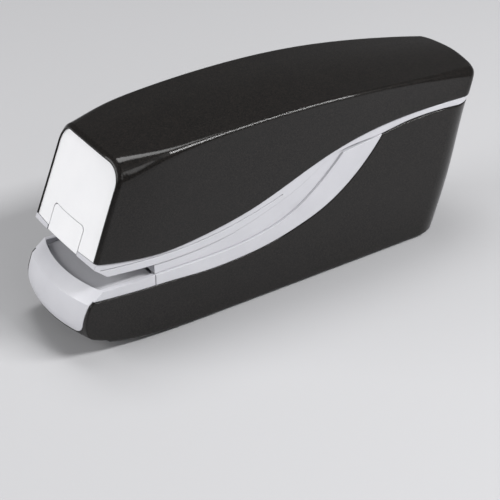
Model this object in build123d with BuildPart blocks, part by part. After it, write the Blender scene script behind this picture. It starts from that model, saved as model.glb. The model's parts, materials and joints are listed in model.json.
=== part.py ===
from build123d import *
import os
from math import acos, asin, cos, degrees, hypot, inf, pi, radians, sin, sqrt, tan

# Electric desk stapler, in millimetres.
# +Z is up, the mouth faces -Y, the length runs along Y and the width along X.
# The origin lies on the surface the stapler stands on, below the middle of its length.

# ---------------------------------------------------------------- casing sizes
LENGTH = 195.0
HALF_LENGTH = LENGTH / 2
CASE_HALF = 23.0           # half width of the base
BAND_HALF = 22.5           # half width of the band between lid and base
SUNK_HALF = 21.9           # half width of the band below its lower groove
TRIM_HALF = 22.9           # half width of the lower trim
NOSE_HALF = 22.7           # half width of the nose cover's side strips
WALL = 2.0                 # casing wall
GAP = 0.15                 # assembly gap between casing parts
FOOT_HEIGHT = 1.0          # how far the rubber feet hold the base up
FAR = 120.0                # longer than any part, for cutting away

# Side outlines, as (y, z) points from the front to the rear
LID_EDGE = [(-93.0, 43.9), (-88.1, 42.2), (-74.0, 39.1), (-58.0, 37.5), (-42.7, 38.6),
            (-18.2, 43.1), (14.5, 54.5), (36.1, 59.5), (62.0, 60.9), (100.0, 58.4)]
BAND_GROOVE = [(-86.0, 38.4), (-64.4, 36.1), (-42.8, 36.0), (-22.4, 38.9), (-4.0, 43.9)]
MOUTH_ROOF = [(-83.0, 34.9), (-73.0, 33.8), (-62.5, 32.9)]
JAW_EDGE = [(-62.5, 32.9), (-47.6, 32.6), (-26.5, 34.7), (-9.9, 39.5), (6.8, 46.4),
            (20.0, 53.8)]
TRIM_EDGE = [(-62.3, 28.2), (-38.3, 27.8), (-14.0, 29.8), (-1.4, 33.6), (9.1, 39.9),
             (24.4, 53.9)]
BASE_EDGE = [(-91.5, 26.0), (-75.0, 24.3), (-51.2, 22.9), (-38.4, 22.0), (-27.0, 22.2),
             (-9.7, 24.0), (3.0, 27.1), (15.8, 31.8), (28.3, 39.9), (43.3, 56.0)]
STRIP_EDGE = [(43.3, 56.3), (52.1, 57.6), (67.4, 58.3), (84.0, 57.1), (100.0, 54.6)]
BASE_REAR = [(92.5, 55.6), (89.0, 40.9), (85.2, 23.9), (81.0, 9.9), (78.0, FOOT_HEIGHT)]
BASE_BELLY = [(-89.0, 7.6), (-78.0, 4.4), (-69.0, 2.7), (-55.1, 1.4), (-40.0, FOOT_HEIGHT)]

# Lid cross-sections: y, half width at the foot, foot height, half width at the
# crease, crease height, crease radius
LID_STATIONS = [
    (-94.0, 23.0, 34.0, 21.2, 77.6, 9.0),
    (-75.0, 23.2, 34.0, 22.4, 79.2, 9.0),
    (-66.0, 23.2, 34.0, 23.3, 79.7, 6.5),
    (-57.0, 23.2, 34.0, 23.9, 80.1, 3.8),
    (-41.0, 23.2, 35.0, 24.1, 80.7, 1.8),
    (-14.9, 23.2, 40.0, 24.2, 81.0, 1.2),
    (2.3, 23.2, 46.0, 24.2, 80.6, 1.2),
    (33.0, 23.2, 54.0, 23.7, 78.2, 1.2),
    (52.0, 23.2, 55.0, 22.7, 75.7, 1.5),
    (73.0, 23.2, 55.0, 21.0, 72.3, 2.5),
    (89.0, 23.2, 54.0, 18.8, 69.5, 4.0),
    (100.0, 23.2, 53.0, 17.0, 67.2, 5.0),
]
LID_CROWN = 1.5            # rise of the lid's top between the creases
LID_REAR_ROUND = 3.0
LID_FRONT_BEVEL = 1.1
SMALLEST_CORNER = 0.6
REAR_ZONE = 80.0           # edges further back than this belong to the rear
UPRIGHT_RUN = 40.0         # upright rear edges are longer than this
LID_REAR_TOP = (85.0, 64.0, 6.0)    # the rear's top edges: beyond y, above z, shorter in y
TOUCH = 0.01
RIM = 1.5                  # width of the lid's front rim
PLATE_DEPTH = 2.2          # thickness of the front plate
PLATE_RECESS = 0.6         # how far the plate lies behind the rim

# The front face is a shallow arc in plan that leans back, and so is the rear
FRONT_LEAN = 0.38          # run back per unit of height
FRONT_FOOT = (-90.1, 42.2)     # middle of the lid's lower front edge
FRONT_BOW_RADIUS = 132.0
REAR_LEAN = 0.25
REAR_TOP_Z = 67.0
REAR_BOW = 2.4
REAR_BOW_RADIUS = 45.0
REAR_CORNER = 14.0
REAR_HALF = 23.3
BLOCK_HALF = 40.0          # half width of the cutting blocks

# Nose cover, drawn in the middle plane and turned about an upright axis far behind it
NOSE_BOW_RADIUS = 66.0
NOSE_AXIS_Y = -HALF_LENGTH + NOSE_BOW_RADIUS
NOSE_FACE = [(-96.9, 12.0), (-97.5, 15.5), (-96.7, 20.5), (-95.1, 24.8)]
NOSE_BACK = [(-94.9, 12.0), (-95.5, 15.5), (-94.7, 20.0), (-93.4, 23.6)]
NOSE_RIDGE = (-89.6, 29.2)
NOSE_RIDGE_BACK = (-88.9, 26.3)
NOSE_LIP = [(-88.0, 5.2), (-93.2, 8.6), (-96.0, 10.4), (-96.9, 12.0)]
LIP_FOOT_Y = -76.0         # where the lip's underside would reach the floor
NOSE_FACE_HALF = 21.9      # half width of the front face, between the base walls
NOSE_LOWER_CORNER = 5.0
NOSE_OPENING_REAR = -85.5  # how far back the base is open for the face
NOSE_FACE_TAPER = 1.0      # how much narrower each side of the face is at its foot
NOSE_STRIP = [(-100.0, 30.4), (-85.7, 29.2), (-74.8, 28.5), (-62.5, 28.2)]
NOSE_STRIP_FOOT = [(-50.0, 22.9), (-62.5, 23.5), (-75.0, 24.3), (-91.5, 26.0), (-100.0, 26.9)]
MOUTH_REAR = -62.5         # paper stop

# Door for the staple drawer in the front plate
CAP_HALF = 11.1
CAP_TOP = 51.8
CAP_CORNER = 2.0
CAP_GAP = 0.3
CHIN_FRONT = -84.1         # front end of the chin's flat foot
CHIN_DEPTH = 3.5           # thickness of the chin along Y
TONGUE_FRONT = -84.5       # front end of the tongue that grips the channel
TONGUE_DROP = 1.0          # how far the tongue's top lies below the channel's

# Band between lid and base
BAND_STEP = 0.4            # how far the band's front lies behind the lid's
BAND_REAR_STEP = 0.6
GROOVE = 0.4               # width and depth of the band's groove
DECK = 1.6                 # thickness of the band's deck
STOP_WALL = 2.0
POST_RADIUS = 2.2
FRAME_POSTS = [(-17.0, -55.0, 45.0), (17.0, -55.0, 45.0), (-17.0, 14.0, 58.0), (17.0, 14.0, 58.0)]
BOARD_POSTS = [(-12.0, 28.0, 63.0), (12.0, 28.0, 63.0), (-12.0, 58.0, 63.0), (12.0, 58.0, 63.0)]

# Lower trim and the floor that closes the base
TRIM_WALL = 3.5
TRIM_FRONT = -62.3
TRIM_FOOT_START = (-63.3, 23.6)
STRIP_GAP = 0.2
TRIM_LEG = (19.4, 20.85)   # from and to in x
TRIM_LEG_TOP = 23.6
WEB = 1.6
WEB_TOP = 21.6
WEB_REAR = 10.0

# Paper table and anvil
TABLE_TOP = 27.2
TABLE_DEPTH = 1.8
TABLE_RIB_X = 12.0
TABLE_RIB_HALF = 0.8
TABLE_RIB_FRONT = -84.0
TABLE_FOOT = 22.0
ANVIL_HALF = 7.5
ANVIL_BACK = 2.2
ANVIL_DEPTH = 1.0
ANVIL_SINK = 0.1           # how far the anvil lies below the table
FORMER_X = 2.6             # middle of each groove that bends a staple leg
FORMER_LENGTH = 4.6
FORMER_WIDTH = 1.6
FORMER_DEPTH = 0.5

# Base
BASE_FLOOR = 2.5
BASE_CORNER = 13.0
BASE_BLANK_FRONT = [(-100.0, 10.0), (-100.0, 27.0)]     # beyond the turned front
BASE_FACE = [(-96.9, 12.0), (-97.4, 15.5), (-96.6, 20.5), (-95.0, 24.6)]
BASE_RIDGE = (-89.6, 28.9)
BASE_FRONT_REAR = -60.0    # behind this the base isn't turned
CASE_SCREWS = [(-15.0, -50.0), (15.0, -50.0), (-15.0, 3.0), (15.0, 3.0)]
SCREW_RADIUS = 1.1
SCREW_HEAD_RADIUS = 2.2
SCREW_HEAD = 1.4
HEAD_SUNK = 1.0            # how far a case screw's head lies inside the base
BOSS_RADIUS = 3.4
FEET = [(-19.4, -46.0), (19.4, -46.0), (-19.4, 66.0), (19.4, 66.0)]
FOOT_RADIUS = 2.8
FOOT_SINK = 0.7
FOOT_CHAMFER = 0.3

# Batteries: four AA cells, two beside each other in two layers
CELL_RADIUS = 7.15
CELL_LENGTH = 50.5
CELL_PITCH = 14.7
CELL_FRONT = 17.6
CELL_FLOOR = 3.8
CRADLE_HALF = 16.6
CRADLE_WALL = 1.4
CRADLE_Y = (15.0, 73.6)
CRADLE_TOP = 35.0
DOOR_HALF = 14.9
DOOR_TONGUE = 1.0
DOOR_Y = (14.6, 77.4)
DOOR_THICK = 2.3
DOOR_TONGUE_END = 73.0
GROOVE_Z = (0.75, 1.85)    # door groove above the base's underside
DOOR_GRIPS = 5
DOOR_GRIP_START = 64.0
DOOR_GRIP_PITCH = 2.0
DOOR_GRIP_HALF = 7.0
DOOR_GRIP_DEPTH = 0.5
CELL_BUTTON = 1.3
CELL_BUTTON_RADIUS = 2.7
CELL_ROUND = 0.6
CELL_COIL_RADIUS = 3.6
CELL_COIL_WIRE = 0.4
CELL_COIL_TURNS = 3
CONTACT_HALF = 4.0

# Stroke mechanism, seen from +X: y runs to the right and z up
STROKE = 15.5
LEVER_PIVOT = (-8.0, 58.0)
RAM_PIN_Y = -69.0
LEVER_REACH = LEVER_PIVOT[0] - RAM_PIN_Y
LEVER_SWING = 2 * degrees(asin(STROKE / 2 / LEVER_REACH))
LEVER_TIP = (RAM_PIN_Y, LEVER_PIVOT[1] + STROKE / 2)
LEVER_HALF = 2.5
LEVER_BOSS = 4.0
TIP_RADIUS = 3.0
LEVER_BAR = 3.6
PIN_RADIUS = 1.5
CAM_CENTRE = (-33.0, 66.5)
CAM_MIN = 4.5
CAM_HALF = 2.8
CAM_CLEARANCE = 0.1
FOLLOWER_RADIUS = 3.0
FOLLOWER = (CAM_CENTRE[0], CAM_CENTRE[1] - CAM_MIN - FOLLOWER_RADIUS - CAM_CLEARANCE)
BLADE_Y = -75.35
BLADE_THICK = 0.5
BLADE_HALF = 4.6
BLADE_Z = (44.8, 66.0)
RAM_HALF = 7.0
RAM_Y = (-75.1, -64.0)
RAM_Z = (61.0, 70.5)
SLOT_FRONT = -72.9         # front end of the ram's slot for the lever's tip
RAM_TONGUE_Y = (-72.5, -66.5)
RAM_TONGUE_Z = (63.2, 68.2)
PLATE_X = (13.0, 14.0)     # inner and outer face of the mechanism's side plates
PLATE_OUTLINE = [(-74.4, 45.0), (-74.4, 71.0), (-60.0, 72.5), (-45.0, 74.0), (18.0, 74.0),
                 (18.0, 56.0), (-2.0, 56.0), (-12.0, 45.0)]
TAB_REACH = 19.6           # how far the plates' feet reach in x
TAB_THICK = 1.0
TAB_HALF = 4.0
SPACERS = [(-44.0, 47.5), (-48.0, 71.5), (16.0, 57.5)]
SPACER_RADIUS = 1.5
PLAY = 0.05                # radial play of a shaft in its bore
SHAFT_RADIUS = 1.0
SHAFT_END = 15.5           # how far the cam shaft reaches in x
BLIND_END = 14.3           # shaft ends that stay clear of the first gear
COIL_WIRE = 0.4            # wire radius of the lever's spring
COIL_RADIUS = 2.4
COIL_X = (-9.5, -4.5)
COIL_TURNS = 5
COIL_ARM_FRONT = -20.0
COIL_ARM_TOP = 64.0
CAM_STEPS = 180            # steps of half a turn used to find the cam's outline
CAM_POINTS = 60
RAM_CORNER = 1.0
RAM_PLAY = 0.2
SPINDLE_CHAMFER = 0.2
FRAME_SCREW_BITE = 3.8
BOARD_SCREW_BITE = 2.6
CROSS_HALF = 0.25          # half width and half length of a screw's cross recess
CROSS_ARM = 1.3

# Gear train: module, teeth and the way from one shaft to the next
PRESSURE = radians(20)
CAM_STAGE = 0.6
MOTOR_STAGE = 0.5
CAM_TEETH = 36
SECOND_PINION_TEETH = 12
SECOND_TEETH = 32
FIRST_PINION_TEETH = 10
FIRST_TEETH = 44
MOTOR_TEETH = 10
SECOND_WAY = 6.0           # direction from the cam shaft to the second shaft, in degrees
FIRST_WAY = -8.0
MOTOR_WAY = -8.0
ADDENDUM = 0.9             # tooth height above and below the pitch circle, in modules
DEDENDUM = 1.25
BACKLASH = 0.16            # how much thinner than half the pitch each tooth is
CAM_GEAR_X = (3.6, 7.0)
SECOND_PINION_X = (3.3, 7.2)
SECOND_GEAR_X = (8.0, 10.5)
FIRST_PINION_X = (7.8, 10.7)
FIRST_GEAR_X = (14.7, 17.2)

# Motor
MOTOR_RADIUS = 10.0
MOTOR_X = (-12.0, 13.0)
MOTOR_BOSS_RADIUS = 3.0
MOTOR_BOSS_END = 14.4
MOTOR_SHAFT_START = 9.0
MOTOR_ROUND = 0.8
OUTER_END = 17.6           # how far the first shaft and the motor's shaft reach in x

# Drawer for the staples
DRAWER_WAY_HALF = 11.3
DRAWER_WAY_FLOOR = 36.4
DRAWER_WAY_REAR = -80.0
STAPLE_SLOT_HALF = 6.0
STAPLE_SLOT_BACK = 1.8
GUIDE_Y = (-72.0, -28.5)
GUIDE_X = (5.4, 6.9, 8.1)  # inner edge, step beside the channel and outer face of a guide
GUIDE_Z = (36.5, 43.0)     # ledge under the channel and top of the guide
CHANNEL_HALF = 6.6
CHANNEL_Y = (-76.6, -27.5)
CHANNEL_Z = (36.8, 44.4)
SHEET = 0.7
EXIT_HALF = 5.0            # staple exit in the channel's floor
EXIT_Y = (-75.9, -74.9)
RAIL_HALF = 3.9
RAIL_SHEET = 0.6
RAIL_Y = (-74.9, -28.8)
RAIL_TOP = 42.3
STRIP_Y = (-74.8, -52.0)
STRIP_HALF = 4.6
STAPLE_TOP = 43.0
STAPLE_FOOT = 37.7
STAPLE_WIRE = 0.5
PUSHER_Y = (-51.9, -44.9)
PUSHER_HALF = 5.6
PUSHER_LEG = 4.2           # inner half width, over the rail
PUSHER_FOOT = 37.8
PUSHER_ROOF = 42.6
PUSHER_TOP = 44.2
PUSHER_TAB_HALF = 3.0
PUSHER_TAB_FOOT = 38.5
ROD_RADIUS = 0.6
ROD_Z = 40.6
ROD_PLAY = 0.15
PUSHER_COIL_RADIUS = 2.2
PUSHER_COIL_WIRE = 0.25
PUSHER_COIL_TURNS = 9

# Paper sensor
TRIGGER_SLOT = (9.0, 12.4)
TRIGGER_SLOT_Y = (-66.5, -60.5)
TRIGGER_SLOT_Z = (26.0, 36.5)
TRIGGER_LUGS = [(7.6, 8.9), (12.5, 13.8)]
TRIGGER_LUG_Y = (-60.6, -57.0)
TRIGGER_LUG_Z = (33.4, 40.8)
TRIGGER_X = (9.4, 11.0)
TRIGGER_Y = -59.0
TRIGGER_Z = 39.0
TRIGGER_ELBOW = (-64.3, 37.0)
TRIGGER_TIP = (-64.3, 30.0)
TRIGGER_HEEL = (-56.2, 41.2)
TRIGGER_BAR = 1.6
TRIGGER_BOSS = 1.7
HEEL_RADIUS = 0.9
TRIGGER_PIN_RADIUS = 0.8
TRIGGER_COIL_X = (11.4, 12.1)
TRIGGER_COIL_RADIUS = 1.4
TRIGGER_COIL_WIRE = 0.18
TRIGGER_COIL_TURNS = 1.5
SWITCH_ROUND = 0.4
SWITCH_TERMINALS = [-58.5, -55.5, -52.5]
SWITCH_X = (8.6, 13.0)
SWITCH_Y = (-60.5, -50.5)
SWITCH_Z = (43.6, 49.6)
TERMINAL_X = (10.1, 10.6)
TERMINAL_HALF = 0.6
TERMINAL_TOP = 52.1
PLUNGER_Y = -56.5
PLUNGER_FOOT = 42.9
PLUNGER_RADIUS = 0.7

# Circuit board
BOARD_Z = 63.0
BOARD_THICK = 1.6
BOARD_HALF = 15.0
BOARD_Y = (24.0, 62.0)
CHIP = (11.0, 11.0, 1.6)
CHIP_PLACE = (-4.0, 42.0)
CHIP_LEG = 0.5
CHIP_LEGS = 8
CAPACITOR_RADIUS = 3.2
CAPACITOR_HEIGHT = 5.6
CAPACITOR_PLACE = (8.5, 44.0)

os.makedirs("parts", exist_ok=True)


# ---------------------------------------------------------------- shared helpers
def save(solid, name):
    solid.label = name
    export_step(solid, f"parts/{name}.step")


def raised(points, lift):
    return [(y, z + lift) for y, z in points]


def backwards(points):
    return list(reversed(points))


def block(low, high, mode=Mode.ADD):
    """A box given by its lowest and highest corners, used inside a part's own block."""
    size = [b - a for a, b in zip(low, high)]
    centre = tuple((a + b) / 2 for a, b in zip(low, high))
    with Locations(centre):
        Box(*size, mode=mode)


def rod_x(x_from, x_to, centre, radius, mode=Mode.ADD):
    """A round bar along X through the (y, z) centre, used inside a part's own block."""
    with BuildSketch(Plane.YZ.offset(x_from)) as section:
        with Locations(centre):
            Circle(radius)
    extrude(section.sketch, amount=x_to - x_from, mode=mode)


def outline(edges):
    """A closed outline: a smooth curve through each long list, a line for each pair."""
    with BuildLine() as path:
        for edge in edges:
            if len(edge) > 2:
                Spline(*edge)
            else:
                Polyline(*edge)
    return path.line


def side_prism(half, *edges):
    """A closed side outline made solid over the width from -half to half."""
    with BuildPart() as prism:
        with BuildSketch(Plane.YZ):
            add(outline(edges))
            make_face()
        extrude(amount=half, both=True)
    return prism.part


nose_axis = Axis((0, NOSE_AXIS_Y, 0), (0, 0, 1))


def turned(*edges):
    """A middle-plane outline turned about the nose's upright axis."""
    with BuildPart() as ring:
        with BuildSketch(Plane.YZ):
            add(outline(edges))
            make_face()
        revolve(axis=nose_axis)
    return ring.part


def lid_arch(station, inset):
    """Draw one lid cross-section, moved inwards by inset."""
    y, foot_half, foot_z, crease_half, crease_z, radius = station
    half = crease_half - inset
    foot = foot_half - inset
    top = crease_z - inset
    crown_radius = half ** 2 / (2 * LID_CROWN)
    corner = max(radius - inset, SMALLEST_CORNER)
    with BuildSketch(Plane.XZ.offset(-y)) as section:
        with BuildLine():
            arch = FilletPolyline(
                (-foot, foot_z), (-half, top), (0, top + LID_CROWN), (half, top), (foot, foot_z),
                radius=[corner, crown_radius, corner])
            Line(arch @ 1, arch @ 0)
        make_face()
    return section.sketch


def lid_solid(inset):
    """The lid's closed outer shape, moved inwards by inset."""
    with BuildPart() as shape:
        loft(sections=[lid_arch(station, inset) for station in LID_STATIONS])
    return shape.part


def front_block(depth):
    """Everything further back than depth behind the leaning, bowed front face."""
    bow = FRONT_BOW_RADIUS - sqrt(FRONT_BOW_RADIUS ** 2 - BLOCK_HALF ** 2)
    lean = Plane(origin=(0, *FRONT_FOOT), x_dir=(1, 0, 0), z_dir=(0, FRONT_LEAN, 1))
    with BuildPart() as behind:
        with BuildSketch(lean):
            with BuildLine():
                face = ThreePointArc((-BLOCK_HALF, depth + bow), (0, depth), (BLOCK_HALF, depth + bow))
                Polyline(face @ 1, (BLOCK_HALF, 2 * FAR), (-BLOCK_HALF, 2 * FAR), face @ 0)
            make_face()
        extrude(amount=FAR, both=True)
    return behind.part


def rear_block(inset):
    """Everything in front of the leaning rear face, with its round corners."""
    half = REAR_HALF - inset
    corner = REAR_CORNER - inset
    shoulder = -2 * REAR_CORNER
    lean = Plane(origin=(0, HALF_LENGTH, REAR_TOP_Z), x_dir=(1, 0, 0), z_dir=(0, REAR_LEAN, 1))
    with BuildPart() as before:
        with BuildSketch(lean):
            with BuildLine():
                face = FilletPolyline(
                    (-half, shoulder), (-half, -REAR_BOW - inset), (0, -inset),
                    (half, -REAR_BOW - inset), (half, shoulder),
                    radius=[corner, REAR_BOW_RADIUS, corner])
                Polyline(face @ 1, (BLOCK_HALF, shoulder), (BLOCK_HALF, -2 * FAR),
                         (-BLOCK_HALF, -2 * FAR), (-BLOCK_HALF, shoulder), face @ 0)
            make_face()
        extrude(amount=FAR, both=True)
    return before.part


def upright_outline(*points, radius):
    """A front view with round inner corners, made solid along the whole length."""
    with BuildPart() as zone:
        with BuildSketch(Plane.XZ.offset(FAR)):
            with BuildLine():
                rim = FilletPolyline(*points, radius=radius)
                Line(rim @ 1, rim @ 0)
            make_face()
        extrude(amount=-2 * FAR)
    return zone.part


# ---------------------------------------------------------------- lid shell
lid_below = side_prism(BLOCK_HALF, LID_EDGE, [LID_EDGE[-1], (FAR, 0)], [(FAR, 0), (-FAR, 0)],
                       [(-FAR, 0), LID_EDGE[0]])

with BuildPart() as lid_room:
    add(lid_solid(WALL))
    add(rear_block(WALL), mode=Mode.INTERSECT)

with BuildPart() as plate_seat:
    add(lid_solid(RIM))
    add(front_block(PLATE_RECESS + PLATE_DEPTH + GAP), mode=Mode.SUBTRACT)

with BuildPart() as lid_shell:
    add(lid_solid(0))
    add(front_block(0), mode=Mode.INTERSECT)
    add(rear_block(0), mode=Mode.INTERSECT)
    rear_top = lid_shell.edges().filter_by(
        lambda edge: edge.center().Y > LID_REAR_TOP[0] and edge.center().Z > LID_REAR_TOP[1]
        and edge.bounding_box().size.X > 1 and edge.bounding_box().size.Y < LID_REAR_TOP[2])
    fillet(rear_top, radius=LID_REAR_ROUND)
    front_face = lid_shell.faces().sort_by(Axis.Y)[0]
    chamfer(front_face.edges().filter_by(lambda edge: edge.center().Z > FRONT_FOOT[1]),
            length=LID_FRONT_BEVEL)
    add(lid_room.part, mode=Mode.SUBTRACT)
    add(lid_below, mode=Mode.SUBTRACT)
    add(plate_seat.part, mode=Mode.SUBTRACT)
save(lid_shell.part, "lid_shell")

# ---------------------------------------------------------------- front plate and drawer cap
with BuildPart() as plate_blank:
    add(lid_solid(RIM + GAP))
    add(front_block(PLATE_RECESS), mode=Mode.INTERSECT)
    add(front_block(PLATE_RECESS + PLATE_DEPTH), mode=Mode.SUBTRACT)
    add(lid_below, mode=Mode.SUBTRACT)

with BuildPart() as front_plate:
    add(plate_blank.part)
    add(upright_outline((-CAP_HALF, 0), (-CAP_HALF, CAP_TOP), (CAP_HALF, CAP_TOP), (CAP_HALF, 0),
                        radius=CAP_CORNER), mode=Mode.SUBTRACT)
save(front_plate.part, "front_plate")

cap_half = CAP_HALF - CAP_GAP
cap_top = CAP_TOP - CAP_GAP
chin_foot = DRAWER_WAY_FLOOR + GAP
chin_top = (LID_EDGE[0][0] + CHIN_DEPTH, LID_EDGE[0][1])
with BuildPart() as magazine_cap:
    add(plate_blank.part)
    add(upright_outline((-cap_half, 0), (-cap_half, cap_top), (cap_half, cap_top), (cap_half, 0),
                        radius=CAP_CORNER), mode=Mode.INTERSECT)
    # sloping chin that closes the drawer's way out below the plate
    with BuildPart(mode=Mode.PRIVATE) as chin:
        add(side_prism(cap_half, [LID_EDGE[0], (CHIN_FRONT, chin_foot)],
                       [(CHIN_FRONT, chin_foot), (CHIN_FRONT + CHIN_DEPTH, chin_foot)],
                       [(CHIN_FRONT + CHIN_DEPTH, chin_foot), chin_top], [chin_top, LID_EDGE[0]]))
        add(front_block(PLATE_RECESS), mode=Mode.INTERSECT)
    add(chin.part)
    # pull tongue that grips the channel
    tongue_half = CHANNEL_HALF - SHEET - 2 * PLAY
    block((-tongue_half, TONGUE_FRONT, CHANNEL_Z[0] + SHEET),
          (tongue_half, CHANNEL_Y[0], CHANNEL_Z[1] - TONGUE_DROP))
save(magazine_cap.part, "magazine_cap")

# ---------------------------------------------------------------- band shell
BAND_FLOOR = MOUTH_ROOF + JAW_EDGE[1:] + STRIP_EDGE
band_top = raised(LID_EDGE, -GAP)
room_floor = raised(BAND_FLOOR, DECK)

with BuildPart() as band_room:
    add(side_prism(BAND_HALF - WALL, room_floor, [room_floor[-1], (FAR, FAR)],
                   [(FAR, FAR), (-FAR, FAR)], [(-FAR, FAR), room_floor[0]]))
    add(front_block(BAND_STEP + WALL), mode=Mode.INTERSECT)
    add(rear_block(BAND_REAR_STEP + WALL), mode=Mode.INTERSECT)

skirt_top = raised(JAW_EDGE, DECK / 2)
skirt_foot = raised(TRIM_EDGE, GAP)
with BuildPart() as band_skirt:
    add(side_prism(SUNK_HALF, skirt_top, [skirt_top[-1], skirt_foot[-1]],
                   backwards(skirt_foot), [skirt_foot[0], skirt_top[0]]))
    block((-SUNK_HALF + WALL, MOUTH_REAR + STOP_WALL, 0), (SUNK_HALF - WALL, FAR, FAR),
          mode=Mode.SUBTRACT)

groove_top = raised(BAND_GROOVE, GROOVE)
with BuildPart() as grooves:
    add(side_prism(FAR, BAND_GROOVE, [BAND_GROOVE[-1], groove_top[-1]],
                   backwards(groove_top), [groove_top[0], BAND_GROOVE[0]]))
    block((-BAND_HALF + GROOVE, -FAR, 0), (BAND_HALF - GROOVE, FAR, FAR), mode=Mode.SUBTRACT)

deck_middle = raised(BAND_FLOOR, DECK / 2)
with BuildPart() as posts:
    for x, y, top in FRAME_POSTS + BOARD_POSTS:
        with BuildSketch(Plane.XY.offset(top)):
            with Locations((x, y)):
                Circle(POST_RADIUS)
                Circle(SCREW_RADIUS, mode=Mode.SUBTRACT)
        extrude(amount=-top)
    add(side_prism(FAR, deck_middle, [deck_middle[-1], (FAR, 0)], [(FAR, 0), (-FAR, 0)],
                   [(-FAR, 0), deck_middle[0]]), mode=Mode.SUBTRACT)

with BuildPart() as drawer_guides:
    for side in (-1, 1):
        inner, step, outer = [side * x for x in GUIDE_X]
        block((min(inner, outer), GUIDE_Y[0], 0), (max(inner, outer), GUIDE_Y[1], GUIDE_Z[0]))
        block((min(step, outer), GUIDE_Y[0], 0), (max(step, outer), GUIDE_Y[1], GUIDE_Z[1]))
    add(side_prism(FAR, deck_middle, [deck_middle[-1], (FAR, 0)], [(FAR, 0), (-FAR, 0)],
                   [(-FAR, 0), deck_middle[0]]), mode=Mode.SUBTRACT)

with BuildPart() as band_shell:
    add(side_prism(BAND_HALF, band_top, [band_top[-1], BAND_FLOOR[-1]],
                   backwards(BAND_FLOOR), [BAND_FLOOR[0], band_top[0]]))
    add(front_block(BAND_STEP), mode=Mode.INTERSECT)
    add(rear_block(BAND_REAR_STEP), mode=Mode.INTERSECT)
    add(band_room.part, mode=Mode.SUBTRACT)
    add(band_skirt.part)
    add(posts.part)
    add(grooves.part, mode=Mode.SUBTRACT)
    # way out for the staple drawer, and the staple slot under its front end
    block((-DRAWER_WAY_HALF, -FAR, DRAWER_WAY_FLOOR), (DRAWER_WAY_HALF, DRAWER_WAY_REAR, FAR),
          mode=Mode.SUBTRACT)
    block((-STAPLE_SLOT_HALF, BLADE_Y - STAPLE_SLOT_BACK, 0),
          (STAPLE_SLOT_HALF, BLADE_Y + STAPLE_SLOT_BACK, DRAWER_WAY_FLOOR), mode=Mode.SUBTRACT)
    # guides beside and below the staple drawer
    add(drawer_guides.part)
    # slot for the paper sensor
    block((TRIGGER_SLOT[0], TRIGGER_SLOT_Y[0], TRIGGER_SLOT_Z[0]),
          (TRIGGER_SLOT[1], TRIGGER_SLOT_Y[1], TRIGGER_SLOT_Z[1]), mode=Mode.SUBTRACT)
    # lugs that hold the sensor's pin
    for low_x, high_x in TRIGGER_LUGS:
        block((low_x, TRIGGER_LUG_Y[0], TRIGGER_LUG_Z[0]), (high_x, TRIGGER_LUG_Y[1], TRIGGER_LUG_Z[1]))
    rod_x(TRIGGER_LUGS[0][0] - GAP, TRIGGER_LUGS[1][1] + GAP, (TRIGGER_Y, TRIGGER_Z),
          TRIGGER_PIN_RADIUS, mode=Mode.SUBTRACT)
save(band_shell.part, "band_shell")

# ---------------------------------------------------------------- lower trim
trim_ceiling = raised(BAND_FLOOR, -GAP)
trim_foot = raised([TRIM_FOOT_START] + BASE_EDGE[2:], STRIP_GAP)

with BuildPart() as lower_trim:
    add(side_prism(TRIM_HALF, TRIM_EDGE, [TRIM_EDGE[-1], trim_foot[-1]],
                   backwards(trim_foot), [trim_foot[0], TRIM_EDGE[0]]))
    block((-TRIM_HALF + TRIM_WALL, -FAR, 0), (TRIM_HALF - TRIM_WALL, FAR, FAR),
          mode=Mode.SUBTRACT)
    block((-FAR, -FAR, 0), (FAR, TRIM_FRONT, FAR), mode=Mode.SUBTRACT)
    add(side_prism(FAR, trim_ceiling, [trim_ceiling[-1], (FAR, FAR)], [(FAR, FAR), (-FAR, FAR)],
                   [(-FAR, FAR), trim_ceiling[0]]), mode=Mode.SUBTRACT)
    # inner legs and the floor that ties the two sides together
    for leg_from, leg_to in (TRIM_LEG, (-TRIM_LEG[1], -TRIM_LEG[0])):
        block((leg_from, TRIM_FRONT, WEB_TOP - WEB), (leg_to, WEB_REAR, TRIM_LEG_TOP))
    block((-TRIM_LEG[0], TRIM_FRONT, WEB_TOP - WEB), (TRIM_LEG[0], WEB_REAR, WEB_TOP))
    with BuildSketch(Plane.XY.offset(WEB_TOP - WEB)):
        with Locations(*CASE_SCREWS):
            Circle(SCREW_RADIUS)
    extrude(amount=WEB, mode=Mode.SUBTRACT)
save(lower_trim.part, "lower_trim")

# ---------------------------------------------------------------- nose cover
strip_foot = raised(NOSE_STRIP_FOOT, STRIP_GAP)
strip_low = strip_foot[1:]

with BuildPart() as nose_strips:
    add(side_prism(NOSE_HALF, NOSE_STRIP, [NOSE_STRIP[-1], strip_low[0]],
                   strip_low, [strip_low[-1], NOSE_STRIP[0]]))
    block((-NOSE_HALF + WALL, -FAR, 0), (NOSE_HALF - WALL, FAR, FAR), mode=Mode.SUBTRACT)
    add(turned([(NOSE_AXIS_Y, 0), (NOSE_FACE[-1][0], 0)], [(NOSE_FACE[-1][0], 0), NOSE_FACE[-1]],
               [NOSE_FACE[-1], NOSE_RIDGE], [NOSE_RIDGE, (NOSE_RIDGE[0], FAR)],
               [(NOSE_RIDGE[0], FAR), (NOSE_AXIS_Y, FAR)], [(NOSE_AXIS_Y, FAR), (NOSE_AXIS_Y, 0)]),
        mode=Mode.INTERSECT)


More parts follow.
